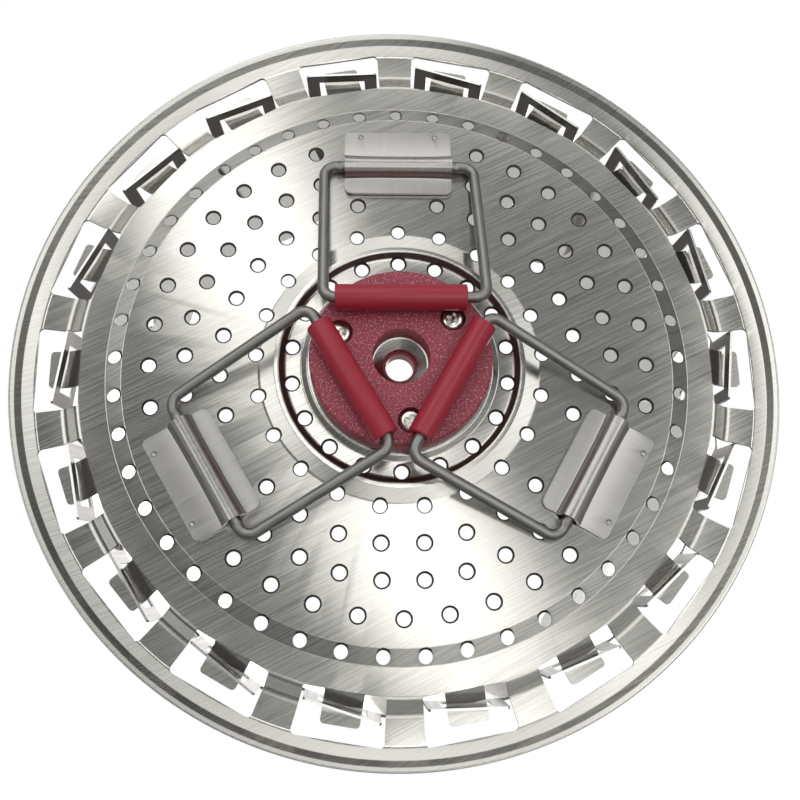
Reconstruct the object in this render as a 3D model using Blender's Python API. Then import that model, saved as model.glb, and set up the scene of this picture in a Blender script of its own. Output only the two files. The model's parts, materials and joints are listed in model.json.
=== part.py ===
"""Folding steamer basket: a perforated steel dish with a ring of hinged petals and three fold-away wire legs.

Metres, +Z up, feet down. The origin is on the surface that the folded basket rests on, under the centre of the dish.
At rest the legs are folded flat under the dish and the petals stand upright. Azimuths run from +X towards +Y.
"""

import math

import bmesh
import bpy
from mathutils import Matrix, Vector

# General fits
FIT_GAP = 0.0003
CUT_OVERRUN = 0.002

# Dish: sheet, rows of holes and the heights of its underside above the boss seat
PLATE_THICKNESS = 0.0006
PLATE_SEGMENTS = 36
CENTRE_HOLE_RADIUS = 0.00375
DIMPLE_RADIUS = 0.0060
DIMPLE_RISE = 0.0014
SEAT_RADIUS = 0.0199
CHANNEL_BEND = 0.0013
CHANNEL_FLOOR = 0.0034
CHANNEL_RISE = 0.0007
BEAD_WIDTH = 0.0010
BEAD_DROP = 0.0004
BEAD_SLOPE = 0.0032
BEAD_TOP_RISE = 0.0004
FIRST_ROW_RADIUS = 0.0234
ROW_COUNTS = (18, 21, 27, 33, 36, 45)
BAND_START_RISE = 0.0007
BAND_WIDTH = 0.0036
SHELF_RISE = 0.0020
SHELF_WIDTH = 0.0062
HOLE_RADIUS = 0.00142
HOLE_SIDES = 6

# Hinge ring round the dish, and the lip turned down from it
LIP_START_RADIUS = 0.0783
LIP_BEND_RADIUS = 0.0053
LIP_SWEEP = math.radians(51)
LIP_STEPS = 4
HINGE_RING_WIDTH = 0.0065
HINGE_RING_RISE = 0.0039
RAMP_WIDTH = 0.0029
WINDOW_MARGIN = 0.0005
WINDOW_DEPTH = 0.0097
WINDOW_HALF_ANGLE = math.radians(7.0)
WINDOW_CORNER = 0.0010
TONGUE_LENGTH_SHARE = 0.69
TONGUE_WIDTH_SHARE = 0.48
TONGUE_CORNER = 0.0006
HINGE_RING_RADIUS = LIP_START_RADIUS - HINGE_RING_WIDTH
SHELF_RADIUS = HINGE_RING_RADIUS - RAMP_WIDTH
BAND_RADIUS = SHELF_RADIUS - SHELF_WIDTH - BAND_WIDTH / 2
ROW_SPACING = (BAND_RADIUS - FIRST_ROW_RADIUS) / (len(ROW_COUNTS) - 1)
WINDOW_OUTER_RADIUS = LIP_START_RADIUS - WINDOW_MARGIN
WINDOW_INNER_RADIUS = WINDOW_OUTER_RADIUS - WINDOW_DEPTH
TONGUE_END_RADIUS = WINDOW_INNER_RADIUS + WINDOW_DEPTH * TONGUE_LENGTH_SHARE
TONGUE_HALF_WIDTH = WINDOW_INNER_RADIUS * math.tan(WINDOW_HALF_ANGLE) * TONGUE_WIDTH_SHARE

# Petals, with widths as shares of the distance between neighbouring hinges
PETAL_COUNT = 18
PETAL_THICKNESS = 0.0005
PETAL_AXIS_INSET = 0.0003
PETAL_AXIS_DROP = 0.0007
PETAL_LEAN = math.radians(9)
PETAL_TWIST = math.radians(9)
PETAL_TILT = math.radians(-3.5)
PETAL_BAR_DEPTH = 0.0027
PETAL_SLOT_START = -0.0006
PETAL_SLOT_END = 0.0050
PETAL_NECK_END = 0.0056
PETAL_SHOULDER = 0.0090
PETAL_LENGTH_SHARE = 0.785
PETAL_ROUND_START_SHARE = 0.679
PETAL_ROOT_SHARE = 0.325
PETAL_SLOT_SHARE = 0.210
PETAL_SHOULDER_SHARE = 0.522
PETAL_WIDTH_SHARE = 0.683
PETAL_BOW_SHARE = 6.0
PETAL_AXIS_RADIUS = HINGE_RING_RADIUS - PETAL_AXIS_INSET
PETAL_PITCH = 2 * math.pi * PETAL_AXIS_RADIUS / PETAL_COUNT
PETAL_LENGTH = PETAL_AXIS_RADIUS * PETAL_LENGTH_SHARE
PETAL_ROUND_START = PETAL_LENGTH * PETAL_ROUND_START_SHARE
PETAL_ROOT_HALF_WIDTH = PETAL_PITCH * PETAL_ROOT_SHARE
PETAL_SLOT_HALF_WIDTH = PETAL_PITCH * PETAL_SLOT_SHARE
PETAL_SHOULDER_HALF_WIDTH = PETAL_PITCH * PETAL_SHOULDER_SHARE
PETAL_HALF_WIDTH = PETAL_PITCH * PETAL_WIDTH_SHARE
PETAL_BOW_RADIUS = PETAL_PITCH * PETAL_BOW_SHARE
PETAL_TIP_ANGLES = tuple(math.radians(a) for a in (0, 38, 70))
PETAL_HOLE_RADIUS = 0.0016
PETAL_HOLE_HEIGHT_SHARES = (0.35, 0.64)

# Legs: bent wire in a pressed clip, with a soft sleeve on the foot
LEG_AZIMUTHS = tuple(math.radians(a) for a in (270, 30, 150))
WIRE_RADIUS = 0.0012
WIRE_SIDES = 8
LEG_AXIS_RADIUS = 0.0463
LEG_FOOT_RADIUS = 0.0119
LEG_LEFT_HALF_WIDTH = 0.0163
LEG_RIGHT_HALF_WIDTH = 0.0171
LEG_RIGHT_FOOT_HALF_WIDTH = 0.0182
LEG_TOP_CORNER = 0.0028
LEG_FOOT_CORNER = 0.0026
CORNER_STEPS = 4
SLEEVE_RADIUS = 0.00285
SLEEVE_LENGTH = 0.0276
SLEEVE_SIDES = 12
CLIP_WIDTH = 0.0240
CLIP_OFFSET = 0.0002
CLIP_THICKNESS = 0.0008
CLIP_FLANGE_LENGTH = 0.0089
CLIP_TAIL_LENGTH = 0.0063
CLIP_BEND = 0.0004
CLIP_ARC_STEPS = 8
CLIP_EDGE_ROOM = 0.0008

# Boss under the dish, hub over it, and the screws that clamp them
BOSS_RADIUS = 0.0193
BOSS_THICKNESS = 0.0052
BOSS_EDGE = 0.0008
BOSS_BORE_RADIUS = 0.00595
BOSS_SEGMENTS = 24
HUB_RADIUS = 0.0170
HUB_THICKNESS = 0.0055
HUB_EDGE = 0.0014
HUB_BORE_RADIUS = 0.00305
SCREW_AZIMUTH = math.radians(82.7)
SCREW_COUNT = 3
SCREW_CIRCLE_RADIUS = 0.0139
SCREW_RADIUS = 0.0013
SCREW_HEAD_RADIUS = 0.00245
SCREW_HEAD_HEIGHT = 0.0016
SCREW_HEAD_CROWN = 0.0005
SCREW_GRIP_IN_HUB = 0.0036
SCREW_SEGMENTS = 12
COUNTERBORE_DEPTH = 0.0022
CROSS_LENGTH = 0.0026
CROSS_WIDTH = 0.0007
CROSS_DEPTH = 0.0009

# Stack of heights, from the resting surface up to the hinge line of the petals
SLEEVE_APOTHEM = SLEEVE_RADIUS * math.cos(math.pi / SLEEVE_SIDES)
BOSS_FACE_Z = 2 * SLEEVE_APOTHEM + FIT_GAP
SEAT_Z = BOSS_FACE_Z + BOSS_THICKNESS + FIT_GAP
SEAT_TOP_Z = SEAT_Z + PLATE_THICKNESS
HUB_Z = SEAT_TOP_Z + FIT_GAP
PETAL_AXIS_Z = SEAT_Z + HINGE_RING_RISE - PETAL_AXIS_DROP

STEEL = ("brushed_steel", (0.62, 0.61, 0.59), 0.28, 1.0)
WIRE_STEEL = ("drawn_wire", (0.46, 0.45, 0.43), 0.32, 1.0)
SCREW_STEEL = ("plated_screw", (0.68, 0.66, 0.60), 0.30, 1.0)
RED_PLASTIC = ("red_nylon", (0.42, 0.035, 0.060), 0.45, 0.0)
RED_SILICONE = ("red_silicone", (0.47, 0.025, 0.050), 0.38, 0.0)


def clear_scene():
    for obj in list(bpy.data.objects):
        bpy.data.objects.remove(obj, do_unlink=True)


def material(finish):
    name, colour, roughness, metallic = finish
    found = bpy.data.materials.get(name)
    if found:
        return found
    made = bpy.data.materials.new(name)
    made.use_nodes = True
    shader = made.node_tree.nodes["Principled BSDF"]
    shader.inputs["Base Color"].default_value = (*colour, 1)
    shader.inputs["Roughness"].default_value = roughness
    shader.inputs["Metallic"].default_value = metallic
    return made


def mesh_object(name, bm, finish=None, matrix=None, parent=None):
    """Turns a bmesh into a named object; without a finish it is a cutter, left out of renders."""
    bmesh.ops.recalc_face_normals(bm, faces=bm.faces)
    mesh = bpy.data.meshes.new(name)
    bm.to_mesh(mesh)
    bm.free()
    return placed(name, mesh, finish, matrix, parent)


def placed(name, mesh, finish=None, matrix=None, parent=None):
    obj = bpy.data.objects.new(name, mesh)
    bpy.context.scene.collection.objects.link(obj)
    if parent:
        obj.parent = parent
    if matrix:
        obj.matrix_local = matrix
    if finish is None:
        obj.hide_render = True
        obj.display_type = "WIRE"
    elif not mesh.materials:
        mesh.materials.append(material(finish))
        mesh.shade_smooth()
        mesh.set_sharp_from_angle(angle=math.radians(35))
    return obj


def cut(obj, cutter):
    modifier = obj.modifiers.new(cutter.name, "BOOLEAN")
    modifier.operation = "DIFFERENCE"
    modifier.solver = "EXACT"
    modifier.object = cutter
    cutter.parent = obj.parent


def turned(bm, outline, segments):
    """Revolves a closed outline of (radius, height) about Z. A point on the axis is shared by all segments."""
    rings = []
    for radius, height in outline:
        if radius == 0:
            rings.append([bm.verts.new((0, 0, height))] * segments)
            continue
        turns = [2 * math.pi * k / segments for k in range(segments)]
        rings.append([bm.verts.new((radius * math.cos(a), radius * math.sin(a), height)) for a in turns])
    for ring, after in zip(rings, rings[1:] + rings[:1]):
        for k in range(segments):
            follows = (k + 1) % segments
            corners = [ring[k], ring[follows], after[follows], after[k]]
            distinct = list(dict.fromkeys(corners))
            if len(distinct) > 2:
                bm.faces.new(distinct)


def prism(bm, outline, bottom, top, matrix=None):
    """Adds an upright prism over a closed plan outline of (x, y) points."""
    matrix = matrix or Matrix.Identity(4)
    low = [bm.verts.new(matrix @ Vector((x, y, bottom))) for x, y in outline]
    high = [bm.verts.new(matrix @ Vector((x, y, top))) for x, y in outline]
    bm.faces.new(low[::-1])
    bm.faces.new(high)
    for k in range(len(outline)):
        after = (k + 1) % len(outline)
        bm.faces.new((low[k], low[after], high[after], high[k]))


def regular_outline(radius, sides, centre=(0, 0), start=0):
    turns = [start + 2 * math.pi * k / sides for k in range(sides)]
    return [(centre[0] + radius * math.cos(a), centre[1] + radius * math.sin(a)) for a in turns]


def offset_line(points, distance):
    """Shifts an open line sideways, to its left for a positive distance, with mitred bends."""
    vectors = [Vector(p) for p in points]
    runs = [(b - a).normalized() for a, b in zip(vectors, vectors[1:])]
    shifted = []
    for k, point in enumerate(vectors):
        before, after = runs[max(k - 1, 0)], runs[min(k, len(runs) - 1)]
        normals = [Vector((-run.y, run.x)) for run in (before, after)]
        mitre = (normals[0] + normals[1]).normalized()
        shifted.append(tuple(point + mitre * distance / mitre.dot(normals[0])))
    return shifted


def filleted(corners, radii, steps):
    """A closed plan line with each corner replaced by an arc."""
    points = []
    count = len(corners)
    for k in range(count):
        corner = Vector(corners[k])
        before = (Vector(corners[k - 1]) - corner).normalized()
        after = (Vector(corners[(k + 1) % count]) - corner).normalized()
        half_angle = before.angle(after) / 2
        back_off = radii[k] / math.tan(half_angle)
        centre = corner + (before + after).normalized() * radii[k] / math.sin(half_angle)
        start = corner + before * back_off - centre
        sweep = math.copysign(math.pi - 2 * half_angle, after.cross(before))
        for step in range(steps + 1):
            points.append(tuple(centre + Matrix.Rotation(sweep * step / steps, 2) @ start))
    return points


def azimuth_frame(azimuth, radius=0.0, height=0.0):
    """A frame at this azimuth: X points outwards, Y along the tangent, Z up."""
    return Matrix.Rotation(azimuth, 4, "Z") @ Matrix.Translation((radius, 0, height))


def plate_underside():
    """(radius, height above the seat) along the underside of the dish, from the centre hole to the lip."""
    channel_start = SEAT_RADIUS + CHANNEL_BEND
    channel_end = channel_start + CHANNEL_FLOOR
    bead_start = channel_end + CHANNEL_BEND
    line = [
        (CENTRE_HOLE_RADIUS, DIMPLE_RISE),
        (DIMPLE_RADIUS, 0),
        (SEAT_RADIUS, 0),
        (channel_start, CHANNEL_RISE),
        (channel_end, CHANNEL_RISE),
        (bead_start, -BEAD_DROP),
        (bead_start + BEAD_WIDTH, -BEAD_DROP),
        (bead_start + BEAD_WIDTH + BEAD_SLOPE, BEAD_TOP_RISE),
        (BAND_RADIUS - BAND_WIDTH / 2, BAND_START_RISE),
        (BAND_RADIUS + BAND_WIDTH / 2, SHELF_RISE),
        (SHELF_RADIUS, SHELF_RISE),
        (HINGE_RING_RADIUS, HINGE_RING_RISE),
    ]
    for step in range(LIP_STEPS + 1):
        angle = LIP_SWEEP * step / LIP_STEPS
        radius = LIP_START_RADIUS + LIP_BEND_RADIUS * math.sin(angle)
        line.append((radius, HINGE_RING_RISE - LIP_BEND_RADIUS * (1 - math.cos(angle))))
    return line


def underside_height(radius):
    """Height of the dish's underside above the resting surface at this radius."""
    line = plate_underside()
    for (r0, h0), (r1, h1) in zip(line, line[1:]):
        if r0 <= radius <= r1:
            return SEAT_Z + h0 + (h1 - h0) * (radius - r0) / (r1 - r0)
    return SEAT_Z


def clip_slope():
    """Angle at which the dish rises outwards where the leg clips lie on it."""
    reach = ROW_SPACING / 2
    rise = underside_height(LEG_AXIS_RADIUS + reach) - underside_height(LEG_AXIS_RADIUS)
    return math.atan2(rise, reach)


def window_outline():
    """Plan outline of one window, with the tongue left standing from its inner edge."""
    side = math.tan(WINDOW_HALF_ANGLE)
    outer, corner = WINDOW_OUTER_RADIUS, WINDOW_CORNER
    half = [
        (TONGUE_END_RADIUS, TONGUE_HALF_WIDTH - TONGUE_CORNER),
        (TONGUE_END_RADIUS - TONGUE_CORNER, TONGUE_HALF_WIDTH),
        (WINDOW_INNER_RADIUS, TONGUE_HALF_WIDTH),
        (WINDOW_INNER_RADIUS, WINDOW_INNER_RADIUS * side),
        (outer - corner, (outer - corner) * side),
        (outer, outer * side - corner),
    ]
    return [(x, -y) for x, y in half] + half[::-1]


def under_a_clip(x, y):
    """True where a hole would open behind a leg clip."""
    for azimuth in LEG_AZIMUTHS:
        outwards = x * math.cos(azimuth) + y * math.sin(azimuth)
        sideways = -x * math.sin(azimuth) + y * math.cos(azimuth)
        room = HOLE_RADIUS + CLIP_EDGE_ROOM
        inner = LEG_AXIS_RADIUS - CLIP_TAIL_LENGTH - room
        outer = LEG_AXIS_RADIUS + CLIP_FLANGE_LENGTH + room
        if inner < outwards < outer and abs(sideways) < CLIP_WIDTH / 2 + room:
            return True
    return False


def hole_places():
    """Centres of the dish's holes. Each row has one at the first leg's azimuth."""
    places = []
    for row, count in enumerate(ROW_COUNTS):
        radius = FIRST_ROW_RADIUS + ROW_SPACING * row
        for k in range(count):
            azimuth = LEG_AZIMUTHS[0] + 2 * math.pi * k / count
            place = (radius * math.cos(azimuth), radius * math.sin(azimuth))
            if not under_a_clip(*place):
                places.append(place)
    return places


def screw_places():
    azimuths = [SCREW_AZIMUTH + 2 * math.pi * k / SCREW_COUNT for k in range(SCREW_COUNT)]
    return [(SCREW_CIRCLE_RADIUS * math.cos(a), SCREW_CIRCLE_RADIUS * math.sin(a)) for a in azimuths]


def make_base_plate():
    under = [(radius, SEAT_Z + height) for radius, height in plate_underside()]
    over = offset_line(under, PLATE_THICKNESS)
    bm = bmesh.new()
    turned(bm, under + over[::-1], PLATE_SEGMENTS)
    plate = mesh_object("base_plate", bm, STEEL)

    bm = bmesh.new()
    bottom, top = SEAT_Z - CUT_OVERRUN, SEAT_Z + HINGE_RING_RISE + CUT_OVERRUN
    for x, y in hole_places():
        prism(bm, regular_outline(HOLE_RADIUS, HOLE_SIDES, (x, y), math.atan2(y, x)), bottom, top)
    for k in range(PETAL_COUNT):
        prism(bm, window_outline(), bottom, top, azimuth_frame(2 * math.pi * k / PETAL_COUNT))
    for place in screw_places():
        prism(bm, regular_outline(SCREW_RADIUS + FIT_GAP, SCREW_SEGMENTS, place), bottom, top)
    cut(plate, mesh_object("plate_cutter", bm))


def petal_rows():
    """(height, half width, half width of the middle strip) from the bar's lower edge to the rounded tip."""
    rows = [
        (-PETAL_BAR_DEPTH, PETAL_ROOT_HALF_WIDTH),
        (PETAL_SLOT_START, PETAL_ROOT_HALF_WIDTH),
        (PETAL_SLOT_END, PETAL_ROOT_HALF_WIDTH),
        (PETAL_NECK_END, PETAL_ROOT_HALF_WIDTH),
        (PETAL_SHOULDER, PETAL_SHOULDER_HALF_WIDTH),
    ]
    for angle in PETAL_TIP_ANGLES:
        height = PETAL_ROUND_START + (PETAL_LENGTH - PETAL_ROUND_START) * math.sin(angle)
        rows.append((height, PETAL_HALF_WIDTH * math.cos(angle)))
    inner_share = PETAL_SLOT_HALF_WIDTH / PETAL_ROOT_HALF_WIDTH
    return [(height, half, half * inner_share) for height, half in rows]


def petal_bow(across, height):
    """How far the petal bows inwards from its hinge plane, flat at the root and arched above the shoulder."""
    arched = min(max(height / PETAL_SHOULDER, 0), 1)
    return -arched * across * across / (2 * PETAL_BOW_RADIUS)


def petal_mesh():
    """One petal in its hinge frame: X along the hinge, Y up the petal, Z outwards."""
    bm = bmesh.new()
    faces = {}
    for side in (-1, 1):
        faces[side] = []
        for height, half, inner in petal_rows():
            across = (-half, -inner, inner, half)
            bows = [petal_bow(x, height) + side * PETAL_THICKNESS / 2 for x in across]
            faces[side].append([bm.verts.new((x, height, z)) for x, z in zip(across, bows)])
    last = len(faces[1]) - 1
    slot_row = 1
    for row in range(last):
        for strip in range(3):
            if row == slot_row and strip == 1:
                continue
            for side in (-1, 1):
                grid = faces[side]
                bm.faces.new((grid[row][strip], grid[row][strip + 1], grid[row + 1][strip + 1], grid[row + 1][strip]))
    edges = [(0, strip, 0, strip + 1) for strip in range(3)]
    edges += [(last, strip, last, strip + 1) for strip in range(3)]
    edges += [(row, column, row + 1, column) for row in range(last) for column in (0, 3)]
    edges += [(slot_row, column, slot_row + 1, column) for column in (1, 2)]
    edges += [(row, 1, row, 2) for row in (slot_row, slot_row + 1)]
    for row, column, next_row, next_column in edges:
        low, high = faces[-1], faces[1]
        bm.faces.new((low[row][column], low[next_row][next_column], high[next_row][next_column], high[row][column]))
    petal = mesh_object("petal_pattern", bm, STEEL)

    bm = bmesh.new()
    for share in PETAL_HOLE_HEIGHT_SHARES:
        outline = regular_outline(PETAL_HOLE_RADIUS, HOLE_SIDES, (0, PETAL_LENGTH * share))
        prism(bm, outline, -CUT_OVERRUN, CUT_OVERRUN)
    cutter = mesh_object("petal_cutter", bm)
    cut(petal, cutter)
    graph = bpy.context.evaluated_depsgraph_get()
    mesh = bpy.data.meshes.new_from_object(petal.evaluated_get(graph))
    bpy.data.objects.remove(petal)
    bpy.data.objects.remove(cutter)
    return mesh


def petal_frame(index):
    """Hinge frame of a petal at rest: X along the hinge axis, Y up the petal, Z outwards."""
    stand = azimuth_frame(2 * math.pi * index / PETAL_COUNT, PETAL_AXIS_RADIUS, PETAL_AXIS_Z)
    skew = Matrix.Rotation(PETAL_TWIST, 4, "Z") @ Matrix.Rotation(PETAL_TILT, 4, "X")
    upright = Matrix(((0, 0, 1, 0), (1, 0, 0, 0), (0, 1, 0, 0), (0, 0, 0, 1)))
    return stand @ skew @ upright @ Matrix.Rotation(-PETAL_LEAN, 4, "X")


def make_petals():
    mesh = petal_mesh()
    for index in range(PETAL_COUNT):
        placed(f"petal_{index + 1:02d}", mesh, STEEL, petal_frame(index))


def leg_axis_height():
    """The wire lies its own radius and a running gap under the dish."""
    room = WIRE_RADIUS + FIT_GAP
    return underside_height(LEG_AXIS_RADIUS) - room / math.cos(clip_slope())


def make_leg(number, azimuth):
    """One leg, folded: its pivot frame has X along the hinge and Y from the hinge to the foot."""
    drop = leg_axis_height() - SLEEVE_APOTHEM
    fall = math.atan2(drop, LEG_AXIS_RADIUS - LEG_FOOT_RADIUS)
    length = math.hypot(drop, LEG_AXIS_RADIUS - LEG_FOOT_RADIUS)
    inwards = Matrix.Rotation(math.pi / 2, 4, "Z") @ Matrix.Rotation(-fall, 4, "X")
    pivot = bpy.data.objects.new(f"leg_pivot_{number}", None)
    bpy.context.scene.collection.objects.link(pivot)
    pivot.matrix_local = azimuth_frame(azimuth, LEG_AXIS_RADIUS, leg_axis_height()) @ inwards

    corners = [
        (-LEG_LEFT_HALF_WIDTH, 0),
        (LEG_RIGHT_HALF_WIDTH, 0),
        (LEG_RIGHT_FOOT_HALF_WIDTH, length),
        (-LEG_LEFT_HALF_WIDTH, length),
    ]
    radii = [LEG_TOP_CORNER, LEG_TOP_CORNER, LEG_FOOT_CORNER, LEG_FOOT_CORNER]
    path = filleted(corners, radii, CORNER_STEPS)
    placed(f"leg_wire_{number}", wire_mesh(path), WIRE_STEEL, Matrix.Identity(4), pivot)

    bm = bmesh.new()
    bore = WIRE_RADIUS + FIT_GAP
    half = SLEEVE_LENGTH / 2
    turned(bm, [(bore, -half), (SLEEVE_RADIUS, -half), (SLEEVE_RADIUS, half), (bore, half)], SLEEVE_SIDES)
    flat_down = Matrix.Rotation(fall + math.pi / SLEEVE_SIDES, 4, "X")
    lengthwise = Matrix.Translation((0, length, 0)) @ flat_down @ Matrix.Rotation(math.pi / 2, 4, "Y")
    mesh_object(f"foot_sleeve_{number}", bm, RED_SILICONE, lengthwise, pivot)


def wire_mesh(path):
    """A closed loop of round wire along a plan path, with mitred rings."""
    bm = bmesh.new()
    rings = []
    count = len(path)
    for k in range(count):
        here = Vector(path[k])
        before, after = here - Vector(path[k - 1]), Vector(path[(k + 1) % count]) - here
        along = (before.normalized() + after.normalized()).normalized()
        aside = Vector((-along.y, along.x))
        stretch = 1 / max(aside.dot(Vector((-after.y, after.x)).normalized()), math.cos(math.pi / 3))
        ring = []
        for x, y in regular_outline(WIRE_RADIUS, WIRE_SIDES, start=math.pi / WIRE_SIDES):
            offset = aside * x * stretch
            ring.append(bm.verts.new((here.x + offset.x, here.y + offset.y, y)))
        rings.append(ring)
    for ring, after in zip(rings, rings[1:] + rings[:1]):
        for k in range(WIRE_SIDES):
            follows = (k + 1) % WIRE_SIDES
            bm.faces.new((ring[k], ring[follows], after[follows], after[k]))
    bmesh.ops.recalc_face_normals(bm, faces=bm.faces)
    mesh = bpy.data.meshes.new("leg_wire")
    bm.to_mesh(mesh)
    bm.free()
    return mesh


def clip_line():
    """Middle line of the clip's sheet as (outwards, above the wire's centre), along the slope of the dish."""
    sheet = WIRE_RADIUS - CLIP_THICKNESS / 2
    bend = WIRE_RADIUS + FIT_GAP + CLIP_THICKNESS / 2
    line = [(CLIP_FLANGE_LENGTH, sheet), (bend + CLIP_BEND, sheet)]
    for step in range(CLIP_ARC_STEPS + 1):
        angle = math.pi * step / CLIP_ARC_STEPS
        line.append((bend * math.cos(angle), -bend * math.sin(angle)))
    return line + [(-bend - CLIP_BEND, sheet), (-CLIP_TAIL_LENGTH, sheet)]


def make_clip(number, azimuth):
    """A pressed clip over the hinge wire, nearer the wire's straight side."""
    line = clip_line()
    outline = offset_line(line, CLIP_THICKNESS / 2) + offset_line(line, -CLIP_THICKNESS / 2)[::-1]
    frame = azimuth_frame(azimuth, LEG_AXIS_RADIUS, leg_axis_height()) @ Matrix.Rotation(-clip_slope(), 4, "Y")
    bm = bmesh.new()
    prism(bm, outline, CLIP_OFFSET - CLIP_WIDTH / 2, CLIP_OFFSET + CLIP_WIDTH / 2)
    mesh_object(f"leg_clip_{number}", bm, STEEL, frame @ Matrix.Rotation(math.pi / 2, 4, "X"))


def make_boss():
    edge = BOSS_EDGE
    bm = bmesh.new()
    outline = [
        (BOSS_BORE_RADIUS, BOSS_FACE_Z),
        (BOSS_RADIUS - edge, BOSS_FACE_Z),
        (BOSS_RADIUS - edge + edge * math.sin(math.pi / 4), BOSS_FACE_Z + edge - edge * math.cos(math.pi / 4)),
        (BOSS_RADIUS, BOSS_FACE_Z + edge),
        (BOSS_RADIUS, BOSS_FACE_Z + BOSS_THICKNESS),
        (BOSS_BORE_RADIUS, BOSS_FACE_Z + BOSS_THICKNESS),
    ]
    turned(bm, outline, BOSS_SEGMENTS)
    boss = mesh_object("underside_boss", bm, RED_PLASTIC)
    bm = bmesh.new()
    outline = [
        (0, BOSS_FACE_Z - CUT_OVERRUN),
        (SCREW_HEAD_RADIUS + FIT_GAP, BOSS_FACE_Z - CUT_OVERRUN),
        (SCREW_HEAD_RADIUS + FIT_GAP, BOSS_FACE_Z + COUNTERBORE_DEPTH),
        (SCREW_RADIUS + FIT_GAP, BOSS_FACE_Z + COUNTERBORE_DEPTH),
        (SCREW_RADIUS + FIT_GAP, BOSS_FACE_Z + BOSS_THICKNESS + CUT_OVERRUN),
        (0, BOSS_FACE_Z + BOSS_THICKNESS + CUT_OVERRUN),
    ]
    add_turned_copies(bm, outline, screw_places())
    cut(boss, mesh_object("boss_cutter", bm))


def add_turned_copies(bm, outline, places):
    for x, y in places:
        fresh = bmesh.new()
        turned(fresh, outline, SCREW_SEGMENTS)
        fresh.transform(Matrix.Translation((x, y, 0)))
        scratch = bpy.data.meshes.new("copy")
        fresh.to_mesh(scratch)
        fresh.free()
        bm.from_mesh(scratch)
        bpy.data.meshes.remove(scratch)


def make_hub():
    """The hub over the dish, hollowed under its middle for the dish's dimple, and drilled for the screws."""
    top = HUB_Z + HUB_THICKNESS
    hollow_radius = DIMPLE_RADIUS + FIT_GAP
    hollow_z = HUB_Z + DIMPLE_RISE + FIT_GAP
    bm = bmesh.new()
    outline = [
        (HUB_BORE_RADIUS, hollow_z),
        (hollow_radius, hollow_z),
        (hollow_radius, HUB_Z),
        (HUB_RADIUS, HUB_Z),
        (HUB_RADIUS, top - HUB_EDGE),
        (HUB_RADIUS - HUB_EDGE + HUB_EDGE * math.cos(math.pi / 4), top - HUB_EDGE + HUB_EDGE * math.sin(math.pi / 4)),
        (HUB_RADIUS - HUB_EDGE, top),
        (HUB_BORE_RADIUS, top),
    ]
    turned(bm, outline, BOSS_SEGMENTS)
    hub = mesh_object("top_hub", bm, RED_PLASTIC)
    bm = bmesh.new()
    for place in screw_places():
        outline = regular_outline(SCREW_RADIUS + FIT_GAP, SCREW_SEGMENTS, place)
        prism(bm, outline, HUB_Z - CUT_OVERRUN, HUB_Z + SCREW_GRIP_IN_HUB + FIT_GAP)
    cut(hub, mesh_object("hub_cutter", bm))


def make_screw(number, place):
    """A pan-head screw, pointing up, with its head in the boss's counterbore."""
    seat = BOSS_FACE_Z + COUNTERBORE_DEPTH - FIT_GAP
    crown = seat - SCREW_HEAD_HEIGHT
    tip = HUB_Z + SCREW_GRIP_IN_HUB
    outline = [
        (0, crown),
        (SCREW_HEAD_RADIUS - SCREW_HEAD_CROWN, crown),
        (SCREW_HEAD_RADIUS, crown + SCREW_HEAD_CROWN),
        (SCREW_HEAD_RADIUS, seat),
        (SCREW_RADIUS, seat),
        (SCREW_RADIUS, tip - SCREW_RADIUS / 2),
        (SCREW_RADIUS / 2, tip),
        (0, tip),
    ]
    bm = bmesh.new()
    turned(bm, outline[1:-1] + [(0, tip), (0, crown)], SCREW_SEGMENTS)
    frame = Matrix.Translation((*place, 0))
    screw = mesh_object(f"boss_screw_{number}", bm, SCREW_STEEL, frame)
    bm = bmesh.new()
    arm, side = CROSS_LENGTH / 2, CROSS_WIDTH / 2
    quarter = [(arm, -side), (arm, side), (side, side)]
    outline = []
    for turn in range(4):
        spin = Matrix.Rotation(math.pi / 2 * turn, 2)
        outline += [tuple(spin @ Vector(point)) for point in quarter]
    prism(bm, outline, crown - CUT_OVERRUN, crown + CROSS_DEPTH)
    cutter = mesh_object(f"cross_cutter_{number}", bm, None, frame)
    cut(screw, cutter)


def main():
    clear_scene()
    make_base_plate()
    make_petals()
    for number, azimuth in enumerate(LEG_AZIMUTHS, 1):
        make_leg(number, azimuth)
        make_clip(number, azimuth)
    make_boss()
    make_hub()
    for number, place in enumerate(screw_places(), 1):
        make_screw(number, place)


main()
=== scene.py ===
"""Looks of the folding steamer basket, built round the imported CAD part.

Sizes are in millimetres, in the CAD part's frame, and meshes are turned into metres as they are made. The
petals and legs take their places from the frame's joints.
"""

import json
import math

import bmesh
import bpy
from mathutils import Matrix, Vector


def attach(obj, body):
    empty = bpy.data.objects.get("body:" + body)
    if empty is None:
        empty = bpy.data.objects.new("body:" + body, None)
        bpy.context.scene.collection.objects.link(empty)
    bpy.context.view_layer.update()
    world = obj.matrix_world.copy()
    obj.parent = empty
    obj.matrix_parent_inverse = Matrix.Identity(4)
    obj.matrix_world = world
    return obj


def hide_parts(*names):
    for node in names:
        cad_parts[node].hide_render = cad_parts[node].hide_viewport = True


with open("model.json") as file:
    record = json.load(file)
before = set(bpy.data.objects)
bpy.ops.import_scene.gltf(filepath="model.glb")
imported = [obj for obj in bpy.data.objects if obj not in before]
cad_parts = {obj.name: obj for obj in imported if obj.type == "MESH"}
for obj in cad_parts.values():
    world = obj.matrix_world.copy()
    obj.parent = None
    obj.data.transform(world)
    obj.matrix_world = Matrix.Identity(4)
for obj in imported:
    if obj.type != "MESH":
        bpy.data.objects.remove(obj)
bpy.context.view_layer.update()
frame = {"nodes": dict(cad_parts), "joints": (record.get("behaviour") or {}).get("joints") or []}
nodes = frame["nodes"]
joints = {joint["name"]: joint for joint in frame["joints"]}

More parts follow.
